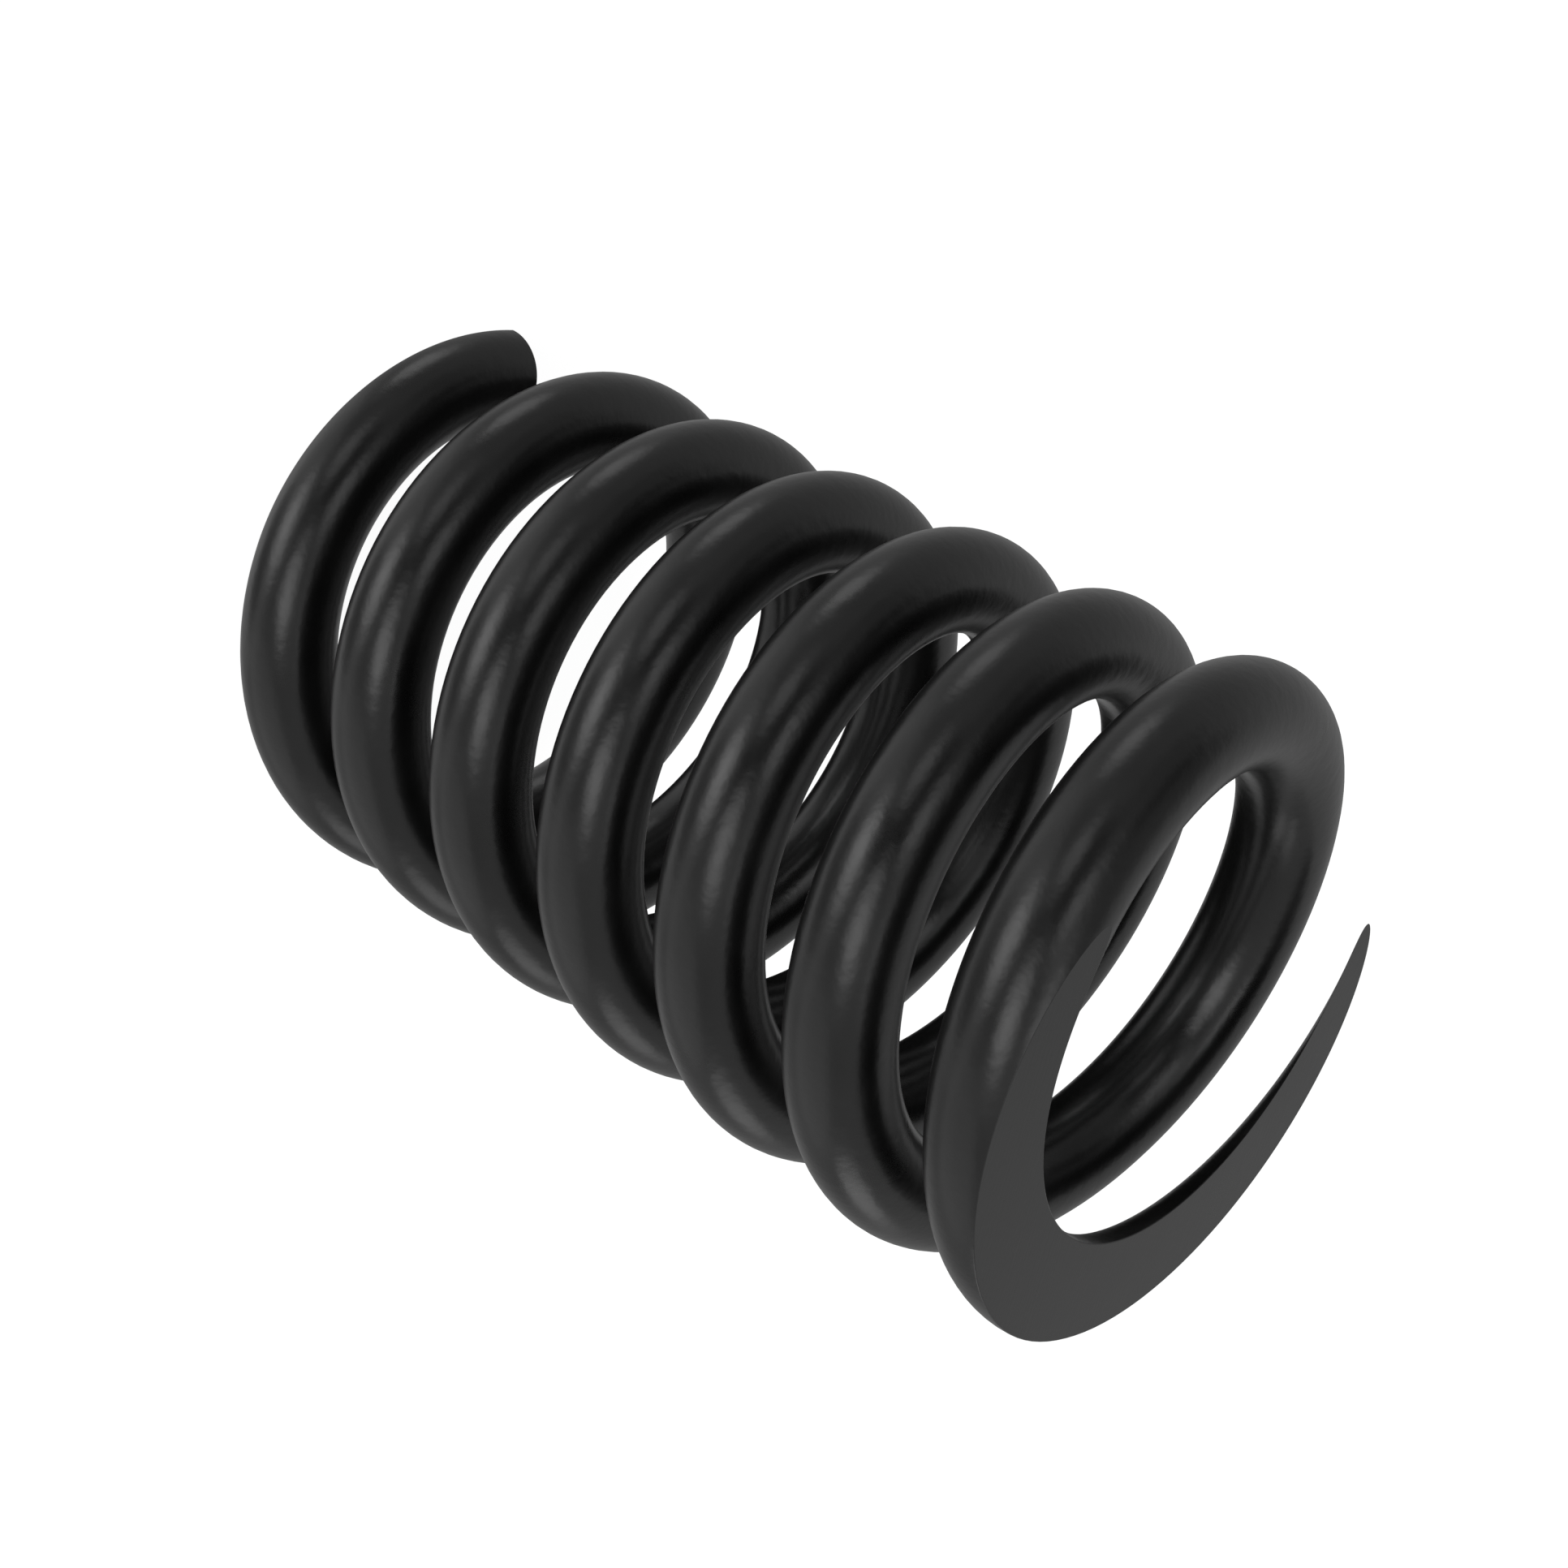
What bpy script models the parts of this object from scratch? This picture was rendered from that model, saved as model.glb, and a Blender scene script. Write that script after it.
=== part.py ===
"""Open-coiled compression spring with two ground ends, for a coil-over suspension unit.

The spring is one round wire wound into a right-handed helix of constant pitch about +Z.
It stands on its lower ground face, with the origin at the centre of that face's plane, and
+X runs through the place where the wire's centre line crosses that plane, close to the
wire's lower tip. A place along the wire is given in turns from there. The wire is modelled
as two ground end coils and the quarter turns between them, each of which slides down along
the axis as the spring is compressed.
"""

import math

import bmesh
import bpy
from mathutils import Vector

# Driving dimensions, in metres.
BORE_DIAMETER = 0.062
WIRE_DIAMETER = 0.0144
PITCH = 0.0232
FREE_LENGTH = 0.150
UPPER_TIP_THICKNESS = 0.00015
FACE_GAP = 0.0004

# The lower tip's cut end, the spare wire cut off there, and the division of the wire, in turns.
LOWER_TIP = -0.0041
SPARE_WIRE = 0.005
LOWER_END_TURNS = 0.375
QUARTER_TURN = 0.25
QUARTER_COUNT = 23
QUARTERS_PER_COIL = 4

# Facets of the round wire.
WIRE_SIDES = 16
RINGS_PER_TURN = 40
SHARP_ANGLE = math.radians(40)

# Satin black coating.
COATING_COLOUR = (0.022, 0.022, 0.023, 1.0)
COATING_ROUGHNESS = 0.42

# Derived sizes.
COIL_RADIUS = (BORE_DIAMETER + WIRE_DIAMETER) / 2
WIRE_RADIUS = WIRE_DIAMETER / 2
LEAD_ANGLE = math.atan2(PITCH, math.tau * COIL_RADIUS)
SECTION_HALF_HEIGHT = WIRE_RADIUS / math.cos(LEAD_ANGLE)
UPPER_END_START = LOWER_END_TURNS + QUARTER_COUNT * QUARTER_TURN
UPPER_TIP = (FREE_LENGTH + SECTION_HALF_HEIGHT - UPPER_TIP_THICKNESS) / PITCH
HALF_GAP_TURNS = FACE_GAP / 2 / (math.tau * COIL_RADIUS)


def clear_scene():
    for obj in list(bpy.data.objects):
        bpy.data.objects.remove(obj)


def wire_section(turns):
    """Points round the wire where an upright plane through the spring's axis cuts it."""
    azimuth = math.tau * turns
    points = []
    for side in range(WIRE_SIDES):
        angle = math.tau * side / WIRE_SIDES
        radius = COIL_RADIUS + WIRE_RADIUS * math.cos(angle)
        height = PITCH * turns + SECTION_HALF_HEIGHT * math.sin(angle)
        points.append((radius * math.cos(azimuth), radius * math.sin(azimuth), height))
    return points


def wire_stretch(start, end):
    """A closed stretch of the helical wire between two places, with its ends capped."""
    bm = bmesh.new()
    steps = max(1, math.ceil((end - start) * RINGS_PER_TURN - 0.01))
    rings = []
    for step in range(steps + 1):
        turns = start + (end - start) * step / steps
        rings.append([bm.verts.new(point) for point in wire_section(turns)])
    for ring, following in zip(rings, rings[1:]):
        for side in range(WIRE_SIDES):
            other = (side + 1) % WIRE_SIDES
            bm.faces.new((ring[side], following[side], following[other], ring[other]))
    bm.faces.new(rings[0])
    bm.faces.new(reversed(rings[-1]))
    return bm


def wire_direction(turns):
    """The direction of the wire's centre line at a place, towards the upper end."""
    azimuth = math.tau * turns
    level = math.cos(LEAD_ANGLE)
    return Vector((-level * math.sin(azimuth), level * math.cos(azimuth), math.sin(LEAD_ANGLE)))


def cut_away(bm, height, outward):
    """Cut away the wire beyond a plane and close the cut with one flat face.

    The plane crosses the axis at the height, and outward is the direction that it faces.
    """
    everything = bm.verts[:] + bm.edges[:] + bm.faces[:]
    cut = bmesh.ops.bisect_plane(
        bm,
        geom=everything,
        plane_co=(0, 0, height),
        plane_no=outward,
        clear_outer=True,
    )
    rim = [item for item in cut["geom_cut"] if isinstance(item, bmesh.types.BMEdge)]
    bmesh.ops.holes_fill(bm, edges=rim)


def finished_mesh(bm, name):
    bmesh.ops.recalc_face_normals(bm, faces=bm.faces[:])
    mesh = bpy.data.meshes.new(name)
    bm.to_mesh(mesh)
    bm.free()
    mesh.shade_smooth()
    mesh.set_sharp_from_angle(angle=SHARP_ANGLE)
    mesh.materials.append(None)
    return mesh


def coating(name):
    material = bpy.data.materials.new(name + "_coating")
    material.use_nodes = True
    shader = material.node_tree.nodes["Principled BSDF"]
    shader.inputs["Base Color"].default_value = COATING_COLOUR
    shader.inputs["Roughness"].default_value = COATING_ROUGHNESS
    shader.inputs["Metallic"].default_value = 0.0
    return material


def add_piece(name, mesh, axis_empty):
    """A named piece with its own coating, its origin on the spring's axis."""
    piece = bpy.data.objects.new(name, mesh)
    bpy.context.collection.objects.link(piece)
    piece.parent = axis_empty
    piece.material_slots[0].link = "OBJECT"
    piece.material_slots[0].material = coating(name)
    return piece


def add_lower_end(axis_empty):
    """The lower end coil: cut square to the wire, and its tip ground to half a wire thick."""
    bm = wire_stretch(LOWER_TIP - SPARE_WIRE, LOWER_END_TURNS - HALF_GAP_TURNS)
    cut_away(bm, 0, -wire_direction(LOWER_TIP))
    cut_away(bm, 0, Vector((0, 0, -1)))
    return add_piece("lower_ground_end", finished_mesh(bm, "lower_ground_end"), axis_empty)


def add_upper_end(axis_empty):
    """The upper end coil: ground from full wire down to a thin feathered tip."""
    bm = wire_stretch(UPPER_END_START + HALF_GAP_TURNS, UPPER_TIP)
    cut_away(bm, FREE_LENGTH, Vector((0, 0, 1)))
    return add_piece("upper_ground_end", finished_mesh(bm, "upper_ground_end"), axis_empty)


def add_quarters(axis_empty):
    """The quarter turns of free wire, one shape turned and raised along the helix."""
    bm = wire_stretch(HALF_GAP_TURNS, QUARTER_TURN - HALF_GAP_TURNS)
    mesh = finished_mesh(bm, "quarter_turn")
    for index in range(QUARTER_COUNT):
        coil = index // QUARTERS_PER_COIL + 1
        quarter = index % QUARTERS_PER_COIL + 1
        start = LOWER_END_TURNS + index * QUARTER_TURN
        piece = add_piece(f"coil_{coil}_quarter_{quarter}", mesh, axis_empty)
        piece.location = (0, 0, PITCH * start)
        piece.rotation_euler = (0, 0, math.tau * start)


def main():
    clear_scene()
    axis_empty = bpy.data.objects.new("spring_axis", None)
    bpy.context.collection.objects.link(axis_empty)
    add_lower_end(axis_empty)
    add_quarters(axis_empty)
    add_upper_end(axis_empty)
    bpy.context.view_layer.update()


main()
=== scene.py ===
import math

import bmesh
import bpy
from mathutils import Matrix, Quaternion, Vector


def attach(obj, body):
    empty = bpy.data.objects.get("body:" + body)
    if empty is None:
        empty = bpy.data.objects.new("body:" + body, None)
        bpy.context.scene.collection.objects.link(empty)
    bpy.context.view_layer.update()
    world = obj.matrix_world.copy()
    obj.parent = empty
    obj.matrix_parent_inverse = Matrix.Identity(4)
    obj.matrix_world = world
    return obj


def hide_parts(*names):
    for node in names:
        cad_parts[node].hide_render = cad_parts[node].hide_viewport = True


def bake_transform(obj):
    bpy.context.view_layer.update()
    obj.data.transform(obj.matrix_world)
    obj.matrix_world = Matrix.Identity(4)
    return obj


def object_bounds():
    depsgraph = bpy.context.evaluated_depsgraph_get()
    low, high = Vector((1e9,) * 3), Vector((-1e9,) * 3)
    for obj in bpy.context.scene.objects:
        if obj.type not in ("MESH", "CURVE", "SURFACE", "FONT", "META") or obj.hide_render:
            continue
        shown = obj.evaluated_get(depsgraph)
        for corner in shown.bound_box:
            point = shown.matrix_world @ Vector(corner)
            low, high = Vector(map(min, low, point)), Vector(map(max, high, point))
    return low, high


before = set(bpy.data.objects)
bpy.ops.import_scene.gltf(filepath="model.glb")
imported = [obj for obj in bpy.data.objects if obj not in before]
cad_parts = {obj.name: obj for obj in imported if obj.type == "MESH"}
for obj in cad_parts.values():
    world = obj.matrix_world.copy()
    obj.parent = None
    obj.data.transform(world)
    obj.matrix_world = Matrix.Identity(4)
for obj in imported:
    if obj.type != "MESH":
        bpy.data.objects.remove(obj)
cad_low, cad_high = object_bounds()

# Open-coiled compression spring: one round wire in a right-handed helix about +Z, with both
# ends ground flat and a satin black coating. A place on the wire's surface is given in turns
# from where the wire's centre line crosses the lower seat plane, on +X, and by an angle round
# the section, from 0 on the outside of the coil to a quarter circle on top. Lengths are in
# metres.

# Driving dimensions, the same as the CAD's.
BORE_DIAMETER = 0.062
WIRE_DIAMETER = 0.0144
PITCH = 0.0232
FREE_LENGTH = cad_high.z

COIL_RADIUS = (BORE_DIAMETER + WIRE_DIAMETER) / 2
WIRE_RADIUS = WIRE_DIAMETER / 2
LEAD_ANGLE = math.atan2(PITCH, math.tau * COIL_RADIUS)
SECTION_HALF_HEIGHT = WIRE_RADIUS / math.cos(LEAD_ANGLE)

# How the wire is divided. The free wire starts just past the lower flat and ends just before
# the upper one. Each quarter turn of it holds the place where two of the CAD's pieces meet.
FREE_WIRE_START = 0.32
QUARTER = 0.25
QUARTER_COUNT = 23
QUARTERS_PER_COIL = 4
FREE_WIRE_END = FREE_WIRE_START + QUARTER_COUNT * QUARTER

# Ground ends: the broken edge round each flat, the place of the lower tip's cut end, and how
# thin the upper tip runs out.
EDGE_BREAK = 0.00015
LOWER_TIP = -0.0041
UPPER_TIP_THICKNESS = 0.000002

# Where each flat begins and ends along the wire.
LOWER_FLAT_END = SECTION_HALF_HEIGHT / PITCH
UPPER_FLAT_START = (FREE_LENGTH - SECTION_HALF_HEIGHT) / PITCH

# Fineness of the mesh.
WIRE_SIDES = 48
RINGS_PER_TURN = 120
GRINDING_STEPS = 120
FLAT_COLUMNS = 8

# Satin black coating. A noise has its waves in a metre and its octaves. The grinding lay's
# place is divided by the length and spacing of its scratches first.
NOISE_RANGE = (0.35, 0.65)
CLOUD_NOISE = (70, 3)
PEEL_NOISE = (480, 2)
GRAIN_NOISE = (2600, 2)
LAY_NOISE = (1, 3)
LAY_LENGTH = 0.03
LAY_SPACING = 0.00045
COATING_SHADES = (0.0025, 0.0055)
CLOUD_ROUGHNESS = (0.27, 0.31)
GRAIN_ROUGHNESS = (0.0, 0.01)
PEEL_DEPTH = 0.000055
PEEL_ON_FLATS = 0.15
GRAIN_DEPTH = 0.000002
LAY_DEPTH = 0.000008

# Camera. Its angles are in degrees.
CAMERA_TARGET = Vector((0, 0, 0.0749))
CAMERA_DISTANCE = 0.3168
CAMERA_AZIMUTH = 62.1
CAMERA_ELEVATION = 35.21
CAMERA_ROLL = 120.02
CAMERA_LENS_MM = 50
CAMERA_SENSOR_MM = 36
CAMERA_NEAREST = 0.01

# Pale floor and the dome of the same white round it.
FLOOR_RADIUS = 4.0
FLOOR_SEGMENTS = 128
FLOOR_DIFFUSE = 0.2
FLOOR_GLOW = 0.95
BACKDROP_RINGS = 64
BACKDROP_GLOW = 1.04

# Studio light. Directions are azimuth and elevation in degrees, seen from the spring, and a
# width is half the angle that a light fills. The spring stands on a light table, so that some
# of the light comes from below. Radiance 1 is the white of the floor.
LIGHT_CENTRE = Vector((0, 0, 0.075))
LIGHT_DISTANCE = 3.0
SOFTBOXES = (
    # name, azimuth, elevation, width, radiance
    ("key_upper", 87, 31, 9, 1.1),
    ("key_upper_glow", 84, 32, 17, 1.9),
    ("key_lower", 67, -20, 9, 1.2),
    ("key_lower_glow", 69, -20, 17, 1.75),
    ("overhead", 135, 80, 12, 1.4),
    ("front", -8, -28, 12, 1.35),
    ("front_upper", 35, 56, 10, 1.7),
    ("front_level", 35, 12.5, 12, 1.35),
    ("side", 180, 15, 13, 1.1),
)
SURROUND_LEVEL = 0.37
SURROUND_RISE = 0.09
SURROUND_POLES = 0.19
SURROUND_EDGE = 5.0
SURROUND_PATCHES = (
    # name, azimuth, elevation, width, change of radiance
    ("back_fill", 135, -10, 30, 0.42),
    ("under_fill", 70, -50, 40, 0.36),
    ("dark_upper", -60, 60, 25, -0.34),
    ("dark_front", -20, 40, 20, -0.21),
    ("dark_under", 90, -55, 17.5, -0.54),
    ("dark_between_keys", 50, 35, 30, -0.48),
)


def surface_point(turns, angle):
    """The point of the wire's surface at a place."""
    azimuth = math.tau * turns
    radius = COIL_RADIUS + WIRE_RADIUS * math.cos(angle)
    height = PITCH * turns + SECTION_HALF_HEIGHT * math.sin(angle)
    return Vector((radius * math.cos(azimuth), radius * math.sin(azimuth), height))


def surface_normal(turns, angle):
    """The exact outward direction of the wire's surface at a place."""
    azimuth = math.tau * turns
    outward = Vector((math.cos(azimuth), math.sin(azimuth), 0))
    forward = Vector((-math.sin(azimuth), math.cos(azimuth), 0))
    radius = COIL_RADIUS + WIRE_RADIUS * math.cos(angle)
    along = forward * math.tau * radius + Vector((0, 0, PITCH))
    around = outward * (-WIRE_RADIUS * math.sin(angle))
    around.z = SECTION_HALF_HEIGHT * math.cos(angle)
    return along.cross(around).normalized()


class WireMesh:
    """A mesh under construction, with the shading direction of each vertex."""

    def __init__(self):
        self.bm = bmesh.new()
        self.shading = {}
        self.ground = {}

    def vertex(self, point, shading, ground=0.0):
        made = self.bm.verts.new(point)
        self.shading[made] = shading
        self.ground[made] = ground
        return made

    def wall_vertex(self, turns, angle):
        return self.vertex(surface_point(turns, angle), surface_normal(turns, angle))

    def full_ring(self, turns, first_angle, turning):
        """A whole section, closed by its first vertex again."""
        ring = [
            self.wall_vertex(turns, first_angle + turning * math.tau * side / WIRE_SIDES)
            for side in range(WIRE_SIDES)
        ]
        return ring + ring[:1]

    def tube(self, start, end, first_angle, turning):
        """Whole wire from one place to another, given back as its first and last rings."""
        rings = [self.full_ring(turns, first_angle, turning) for turns in stations(start, end)]
        for ring, following in zip(rings, rings[1:]):
            self.strip(ring, following)
        return rings[0], rings[-1]

    def ground_ring(self, side, plane, opening):
        """A section cut by a level plane: the wall that is left, and the flat across it.

        side is 1 for the top of the spring and -1 for its bottom. opening is the half angle
        that the grinding took off, from 0 where the flat begins to pi where the wire ends.
        """
        turns = (plane - side * SECTION_HALF_HEIGHT * math.cos(opening)) / PITCH
        break_angle = EDGE_BREAK / WIRE_RADIUS * math.sin(opening)
        first = side * (math.pi / 2 - opening - break_angle)
        sweep = -side * (math.tau - 2 * opening - 2 * break_angle)
        wall = [
            self.wall_vertex(turns, first + sweep * step / WIRE_SIDES)
            for step in range(WIRE_SIDES + 1)
        ]
        azimuth = math.tau * turns
        half_width = (WIRE_RADIUS - EDGE_BREAK) * math.sin(opening)
        flat = []
        for column in range(FLAT_COLUMNS + 1):
            radius = COIL_RADIUS + half_width * (1 - 2 * column / FLAT_COLUMNS)
            point = (radius * math.cos(azimuth), radius * math.sin(azimuth), plane)
            flat.append(self.vertex(point, Vector((0, 0, side)), ground=1.0))
        return wall, flat

    def strip(self, row, following):
        """Four-sided faces between two rows of the same length."""
        for index in range(len(row) - 1):
            corners = (row[index], following[index], following[index + 1], row[index + 1])
            self.bm.faces.new(corners)

    def fan(self, centre, row):
        """Triangles from one vertex to a row."""
        for one, other in zip(row, row[1:]):
            self.bm.faces.new((centre, one, other))

    def cap(self, loop, shading):
        """A flat lid on a closed loop of vertices, shaded flat."""
        self.shading[self.bm.faces.new(loop)] = shading

    def mesh(self, name, material):
        """The finished mesh, smooth along the wire and exact at the seams between pieces."""
        bmesh.ops.recalc_face_normals(self.bm, faces=self.bm.faces[:])
        directions = []
        for face in self.bm.faces:
            for corner in face.loops:
                directions.append(self.shading.get(face) or self.shading[corner.vert])
        ground = [self.ground[vertex] for vertex in self.bm.verts]
        mesh = bpy.data.meshes.new(name)
        self.bm.to_mesh(mesh)
        self.bm.free()
        mesh.shade_smooth()
        mesh.normals_split_custom_set(directions)
        mesh.attributes.new("ground", "FLOAT", "POINT").data.foreach_set("value", ground)
        mesh.materials.append(material)
        return mesh


def stations(start, end):
    """Evenly spaced places from start to end, both of them included."""
    count = max(1, round((end - start) * RINGS_PER_TURN))
    return [start + (end - start) * step / count for step in range(count + 1)]


def along_wire(turns, sense):
    """The level direction along the wire at a place, forwards (1) or backwards (-1)."""
    azimuth = math.tau * turns
    return Vector((-math.sin(azimuth), math.cos(azimuth), 0)) * sense


def wire_direction(turns):
    """The direction of the wire's centre line at a place, towards the upper end."""
    level = along_wire(turns, 1) * math.cos(LEAD_ANGLE)
    return level + Vector((0, 0, math.sin(LEAD_ANGLE)))


def free_wire(name, start, end, material):
    """A stretch of whole wire with a hidden lid at each seam."""
    wire = WireMesh()
    first, last = wire.tube(start, end, math.pi / 2, -1)
    wire.cap(first[:-1], along_wire(start, -1))
    wire.cap(last[:-1], along_wire(end, 1))
    return wire.mesh(name, material)


def ground_stretch(wire, side, plane, last_opening, whole):
    """The ground part of an end coil, from where the flat begins. whole is the ring there.

    Gives back the vertices round the section at its end.
    """
    previous_wall, previous_flat = None, None
    for step in range(1, GRINDING_STEPS + 1):
        wall, flat = wire.ground_ring(side, plane, last_opening * step / GRINDING_STEPS)
        across = [wall[0], *flat, wall[-1]]
        if previous_wall is None:
            wire.strip(whole, wall)
            wire.fan(whole[0], across)
        else:
            wire.strip(previous_wall, wall)
            wire.strip([previous_wall[0], *previous_flat, previous_wall[-1]], across)
        previous_wall, previous_flat = wall, flat
    return previous_wall + previous_flat[::-1]


def lower_end(name, material):
    """The lower end coil: ground away until its blunt tip is half a wire thick."""
    wire = WireMesh()
    first, last = wire.tube(LOWER_FLAT_END, FREE_WIRE_START, -math.pi / 2, 1)
    wire.cap(last[:-1], along_wire(FREE_WIRE_START, 1))
    last_ring = LOWER_TIP + EDGE_BREAK / (math.tau * COIL_RADIUS)
    tip_opening = math.acos(last_ring * PITCH / SECTION_HALF_HEIGHT)
    add_blunt_tip(wire, ground_stretch(wire, -1, 0.0, tip_opening, first))
    return wire.mesh(name, material)


def add_blunt_tip(wire, loop):
    """Cut the wire square, and close it with a flat face and a small broken edge round it."""
    forward = wire_direction(LOWER_TIP)
    for vertex in loop:
        vertex.co -= forward * (forward.dot(vertex.co) - EDGE_BREAK)
    centre = sum((vertex.co for vertex in loop), Vector()) / len(loop)
    inner = []
    for vertex in loop:
        inwards = centre - vertex.co
        point = vertex.co + inwards.normalized() * EDGE_BREAK
        point -= forward * forward.dot(point)
        inner.append(wire.vertex(point, -forward))
    wire.strip(loop + loop[:1], inner + inner[:1])
    wire.cap(inner, -forward)


def upper_end(name, material):
    """The upper end coil: ground from the whole wire down to a feathered tip."""
    wire = WireMesh()
    first, last = wire.tube(FREE_WIRE_END, UPPER_FLAT_START, math.pi / 2, -1)
    wire.cap(first[:-1], along_wire(FREE_WIRE_END, -1))
    tip_opening = math.pi - math.acos(1 - UPPER_TIP_THICKNESS / SECTION_HALF_HEIGHT)
    upper_tip = (FREE_LENGTH - SECTION_HALF_HEIGHT * math.cos(tip_opening)) / PITCH
    tip = ground_stretch(wire, 1, FREE_LENGTH, tip_opening, last)
    wire.cap(tip, along_wire(upper_tip, 1))
    return wire.mesh(name, material)


def add_piece(mesh, *replaced):
    """A named piece of the spring that stands for its CAD node."""
    piece = bpy.data.objects.new(mesh.name, mesh)
    bpy.context.scene.collection.objects.link(piece)
    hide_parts(*replaced)
    return piece


def bend_quarter(piece):
    """Bake a quarter turn's placement into its mesh."""
    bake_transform(piece)


def build_spring(material):
    lower = add_piece(lower_end("lower_end_wire", material), "lower_ground_end")
    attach(lower, "lower_end")
    for index in range(QUARTER_COUNT):
        coil = index // QUARTERS_PER_COIL + 1
        quarter = index % QUARTERS_PER_COIL + 1
        body = f"coil_{coil}_quarter_{quarter}"
        start = FREE_WIRE_START + index * QUARTER
        piece = add_piece(free_wire(f"wire_{body}", start, start + QUARTER, material), body)
        bend_quarter(piece)
    upper = add_piece(upper_end("upper_end_wire", material), "upper_ground_end")
    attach(upper, "upper_end")


class Nodes:
    """A short way to add and join shader nodes. A source is a node and an output's name."""

    def __init__(self, tree):
        self.tree = tree

    def add(self, kind, **settings):
        node = self.tree.nodes.new(kind)
        for key, value in settings.items():
            setattr(node, key, value)
        return node

    def join(self, source, target, socket):
        node, output = source
        self.tree.links.new(node.outputs[output], target.inputs[socket])

    def combined(self, one, other, operation):
        node = self.add("ShaderNodeMath", operation=operation)
        self.join(one, node, 0)
        self.join(other, node, 1)
        return node, "Value"

    def scaled(self, source, factor, offset):
        node = self.add("ShaderNodeMath", operation="MULTIPLY_ADD")
        node.inputs[1].default_value = factor
        node.inputs[2].default_value = offset
        self.join(source, node, 0)
        return node, "Value"

    def noise(self, place, waves, octaves):
        node = self.add("ShaderNodeTexNoise")
        node.inputs["Scale"].default_value = waves
        node.inputs["Detail"].default_value = octaves
        self.join(place, node, "Vector")
        return node, "Fac"

    def spread(self, noise, low, high):
        """A noise's middle range stretched over low to high."""
        node = self.add("ShaderNodeMapRange")
        node.inputs["From Min"].default_value = NOISE_RANGE[0]
        node.inputs["From Max"].default_value = NOISE_RANGE[1]
        node.inputs["To Min"].default_value = low
        node.inputs["To Max"].default_value = high
        self.join(noise, node, "Value")
        return node, "Result"

    def greys(self, noise, shades):
        """A noise's middle range turned into greys from one shade to another."""
        node = self.add("ShaderNodeValToRGB")
        for element, position, shade in zip(node.color_ramp.elements, NOISE_RANGE, shades):
            element.position = position
            element.color = (shade, shade, shade, 1)
        self.join(noise, node, "Fac")
        return node, "Color"

    def bump(self, height, depth, strength=None, below=None):
        """Relief of a depth in metres, on top of another relief where one is given."""
        node = self.add("ShaderNodeBump")
        node.inputs["Distance"].default_value = depth
        self.join(height, node, "Height")
        if strength:
            self.join(strength, node, "Strength")
        if below:
            self.join(below, node, "Normal")
        return node, "Normal"


def coating_material():
    """Satin black coating over peened wire: orange peel, fine grain and uneven gloss."""
    material = bpy.data.materials.new("satin_black_coating")
    material.use_nodes = True
    nodes = Nodes(material.node_tree)
    shader = material.node_tree.nodes["Principled BSDF"]
    place = nodes.add("ShaderNodeTexCoord"), "Object"
    cloud = nodes.noise(place, *CLOUD_NOISE)
    grain = nodes.noise(place, *GRAIN_NOISE)
    patchy_gloss = nodes.spread(cloud, *CLOUD_ROUGHNESS)
    speckled_gloss = nodes.spread(grain, *GRAIN_ROUGHNESS)
    nodes.join(nodes.greys(cloud, COATING_SHADES), shader, "Base Color")
    nodes.join(nodes.combined(patchy_gloss, speckled_gloss, "ADD"), shader, "Roughness")
    nodes.join(coating_relief(nodes, place, grain), shader, "Normal")
    return material


def coating_relief(nodes, place, grain):
    """Grain, then the grinding lay where the "ground" attribute is 1, then the orange peel."""
    ground = nodes.add("ShaderNodeAttribute", attribute_name="ground"), "Fac"
    stretched = nodes.add("ShaderNodeMapping", vector_type="TEXTURE")
    stretched.inputs["Scale"].default_value = (LAY_LENGTH, LAY_SPACING, LAY_LENGTH)
    nodes.join(place, stretched, "Vector")
    lay = nodes.noise((stretched, "Vector"), *LAY_NOISE)
    peel = nodes.noise(place, *PEEL_NOISE)
    peel_strength = nodes.scaled(ground, PEEL_ON_FLATS - 1, 1)
    relief = nodes.bump(grain, GRAIN_DEPTH)
    relief = nodes.bump(lay, LAY_DEPTH, strength=ground, below=relief)
    return nodes.bump(peel, PEEL_DEPTH, strength=peel_strength, below=relief)


def direction(azimuth, elevation):
    """The unit vector towards an azimuth and elevation in degrees."""
    azimuth, elevation = math.radians(azimuth), math.radians(elevation)
    level = math.cos(elevation)
    return Vector((level * math.cos(azimuth), level * math.sin(azimuth), math.sin(elevation)))


def white_material(name, diffuse, glow):
    material = bpy.data.materials.new(name)
    material.use_nodes = True
    shader = material.node_tree.nodes["Principled BSDF"]
    shader.inputs["Base Color"].default_value = (diffuse, diffuse, diffuse, 1)
    shader.inputs["Roughness"].default_value = 1.0
    shader.inputs["Specular IOR Level"].default_value = 0.0
    shader.inputs["Emission Color"].default_value = (1, 1, 1, 1)
    shader.inputs["Emission Strength"].default_value = glow
    return material


def add_stage(name, bm, material):
    """A piece of the studio that is seen but neither lights nor shades the spring."""
    mesh = bpy.data.meshes.new(name)
    bm.to_mesh(mesh)
    bm.free()
    mesh.materials.append(material)
    stage = bpy.data.objects.new(name, mesh)
    bpy.context.scene.collection.objects.link(stage)
    stage.visible_diffuse = False
    stage.visible_glossy = False
    stage.visible_transmission = False
    stage.visible_shadow = False


def add_floor():
    bm = bmesh.new()
    bmesh.ops.create_circle(bm, cap_ends=True, segments=FLOOR_SEGMENTS, radius=FLOOR_RADIUS)
    add_stage("floor", bm, white_material("floor_white", FLOOR_DIFFUSE, FLOOR_GLOW))


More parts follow.
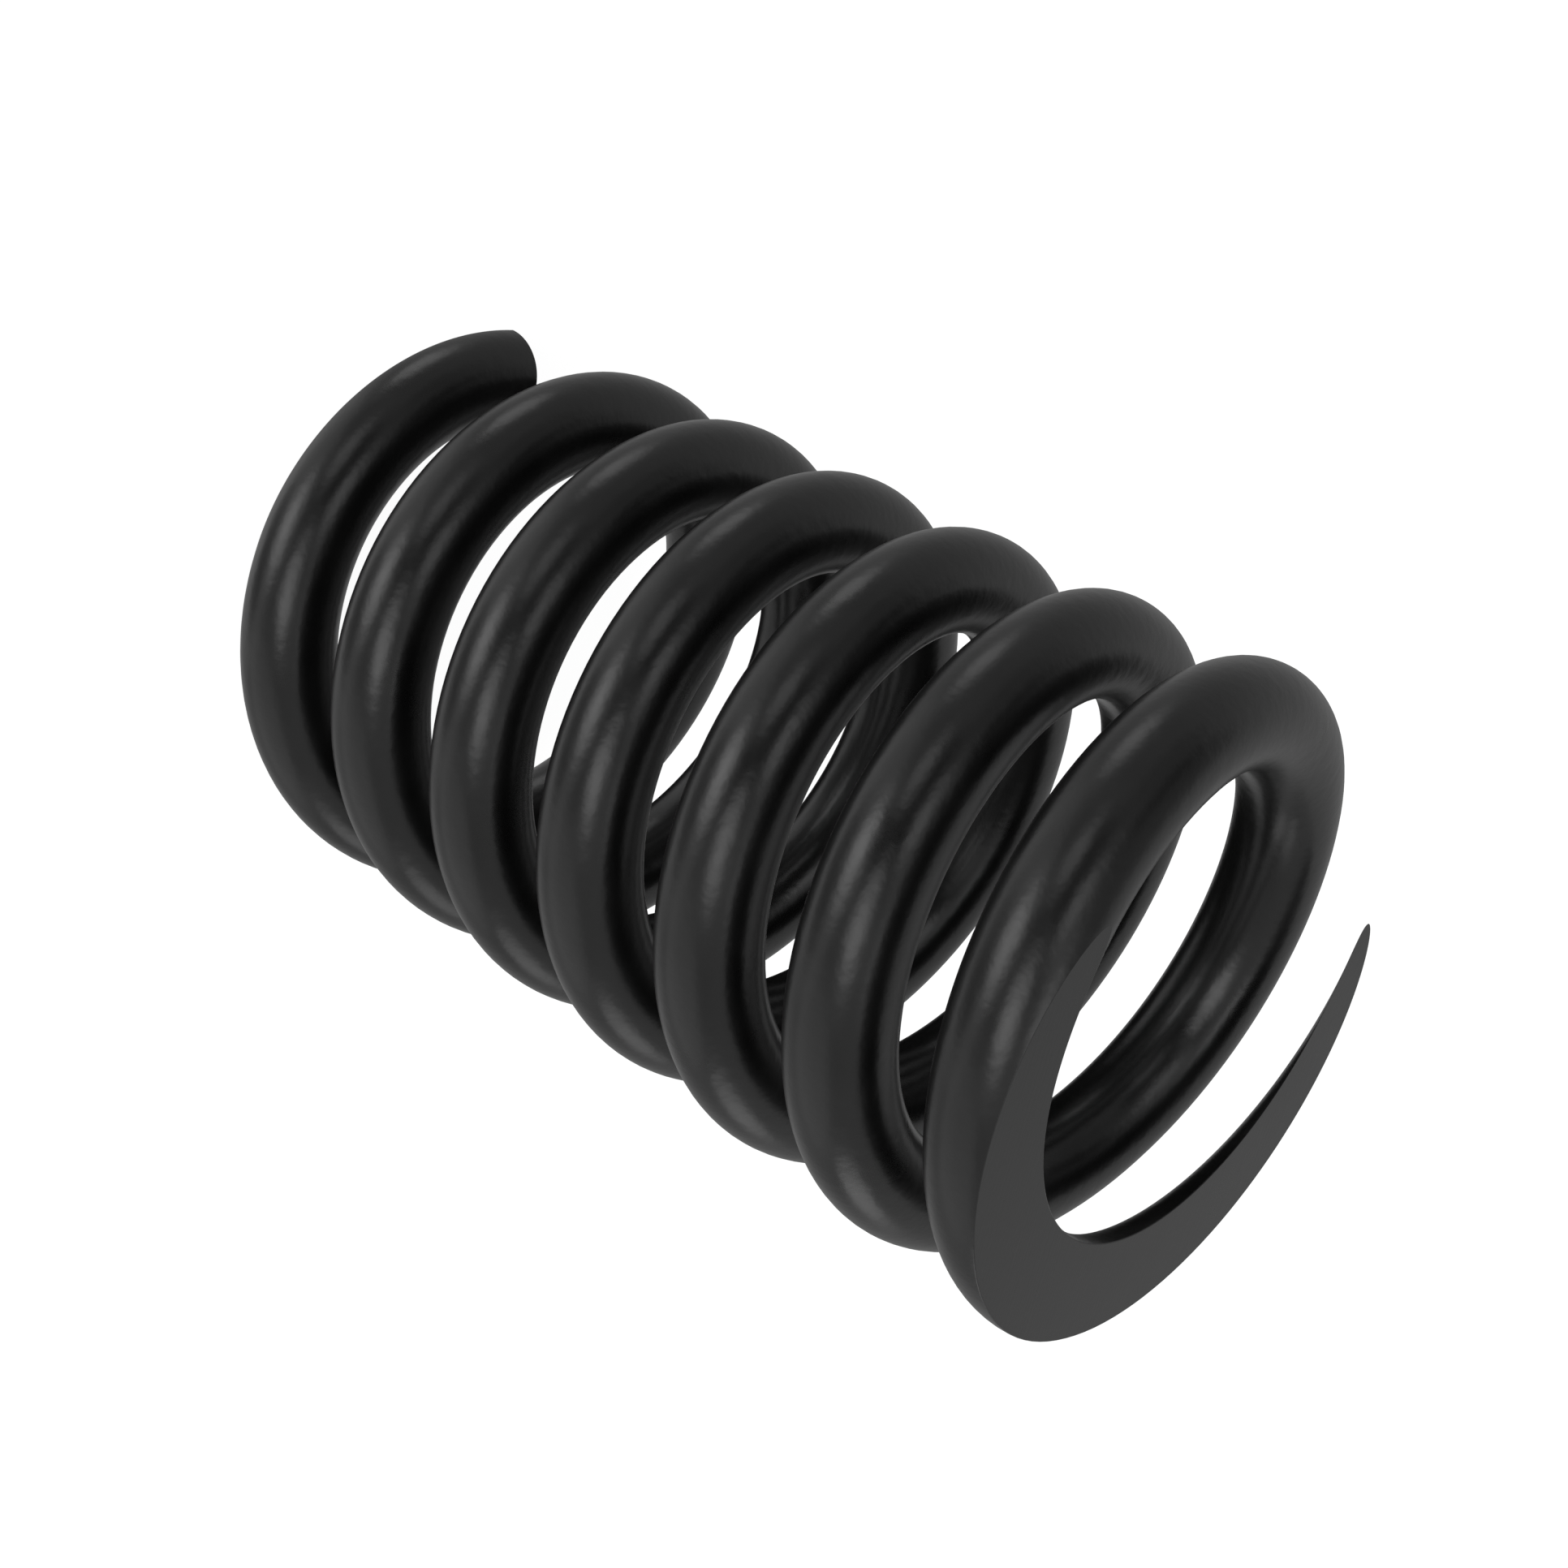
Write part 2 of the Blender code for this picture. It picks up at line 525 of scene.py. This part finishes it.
def add_backdrop():
    bm = bmesh.new()
    bmesh.ops.create_uvsphere(
        bm, u_segments=FLOOR_SEGMENTS, v_segments=BACKDROP_RINGS, radius=FLOOR_RADIUS
    )
    add_stage("backdrop", bm, white_material("backdrop_white", 0, BACKDROP_GLOW))


def add_softboxes():
    """Round soft lights, all aimed at the middle of the spring."""
    for name, azimuth, elevation, width, radiance in SOFTBOXES:
        towards = direction(azimuth, elevation)
        radius = LIGHT_DISTANCE * math.tan(math.radians(width))
        light = bpy.data.lights.new(name, "AREA")
        light.shape = "DISK"
        light.size = 2 * radius
        area = math.pi * radius ** 2
        light.energy = radiance * area * math.pi
        lamp = bpy.data.objects.new(name, light)
        bpy.context.scene.collection.objects.link(lamp)
        lamp.location = LIGHT_CENTRE + towards * LIGHT_DISTANCE
        lamp.rotation_mode = "QUATERNION"
        lamp.rotation_quaternion = towards.to_track_quat("Z", "Y")
        lamp.visible_camera = False


def add_surround():
    """The studio's walls: an even grey, paler above, with bright and dark patches."""
    world = bpy.data.worlds.new("studio")
    world.use_nodes = True
    nodes = Nodes(world.node_tree)
    background = world.node_tree.nodes["Background"]
    background.inputs["Color"].default_value = (1, 1, 1, 1)
    place = nodes.add("ShaderNodeTexCoord"), "Generated"
    split = nodes.add("ShaderNodeSeparateXYZ")
    nodes.join(place, split, "Vector")
    height = split, "Z"
    poles = nodes.scaled(nodes.combined(height, height, "MULTIPLY"), SURROUND_POLES, SURROUND_LEVEL)
    total = nodes.combined(poles, nodes.scaled(height, SURROUND_RISE, 0), "ADD")
    for patch in SURROUND_PATCHES:
        total = nodes.combined(total, surround_patch(nodes, place, *patch), "ADD")
    never_negative = nodes.add("ShaderNodeMath", operation="MAXIMUM")
    never_negative.inputs[1].default_value = 0
    nodes.join(total, never_negative, 0)
    nodes.join((never_negative, "Value"), background, "Strength")
    bpy.context.scene.world = world


def surround_patch(nodes, place, name, azimuth, elevation, width, change):
    """A round patch of the walls where the radiance changes, with a soft edge."""
    facing = nodes.add("ShaderNodeVectorMath", operation="DOT_PRODUCT", label=name)
    facing.inputs[1].default_value = direction(azimuth, elevation)
    nodes.join(place, facing, 0)
    patch = nodes.add("ShaderNodeMapRange", interpolation_type="SMOOTHSTEP")
    patch.inputs["From Min"].default_value = math.cos(math.radians(width + SURROUND_EDGE))
    patch.inputs["From Max"].default_value = math.cos(math.radians(width - SURROUND_EDGE))
    patch.inputs["To Max"].default_value = change
    nodes.join((facing, "Value"), patch, "Value")
    return patch, "Result"


def add_camera():
    """The viewing angle: from above and to one side, with the camera rolled."""
    back = direction(CAMERA_AZIMUTH, CAMERA_ELEVATION)
    camera = bpy.data.objects.new("camera", bpy.data.cameras.new("camera"))
    bpy.context.scene.collection.objects.link(camera)
    camera.data.lens = CAMERA_LENS_MM
    camera.data.sensor_width = CAMERA_SENSOR_MM
    camera.data.clip_start = CAMERA_NEAREST
    camera.location = CAMERA_TARGET + back * CAMERA_DISTANCE
    camera.rotation_mode = "QUATERNION"
    upright = (-back).to_track_quat("-Z", "Y")
    camera.rotation_quaternion = upright @ Quaternion((0, 0, 1), math.radians(CAMERA_ROLL))
    bpy.context.scene.camera = camera


def set_look():
    bpy.context.scene.view_settings.view_transform = "Standard"
    bpy.context.scene.view_settings.look = "None"


build_spring(coating_material())
add_floor()
add_backdrop()
add_softboxes()
add_surround()
add_camera()
set_look()
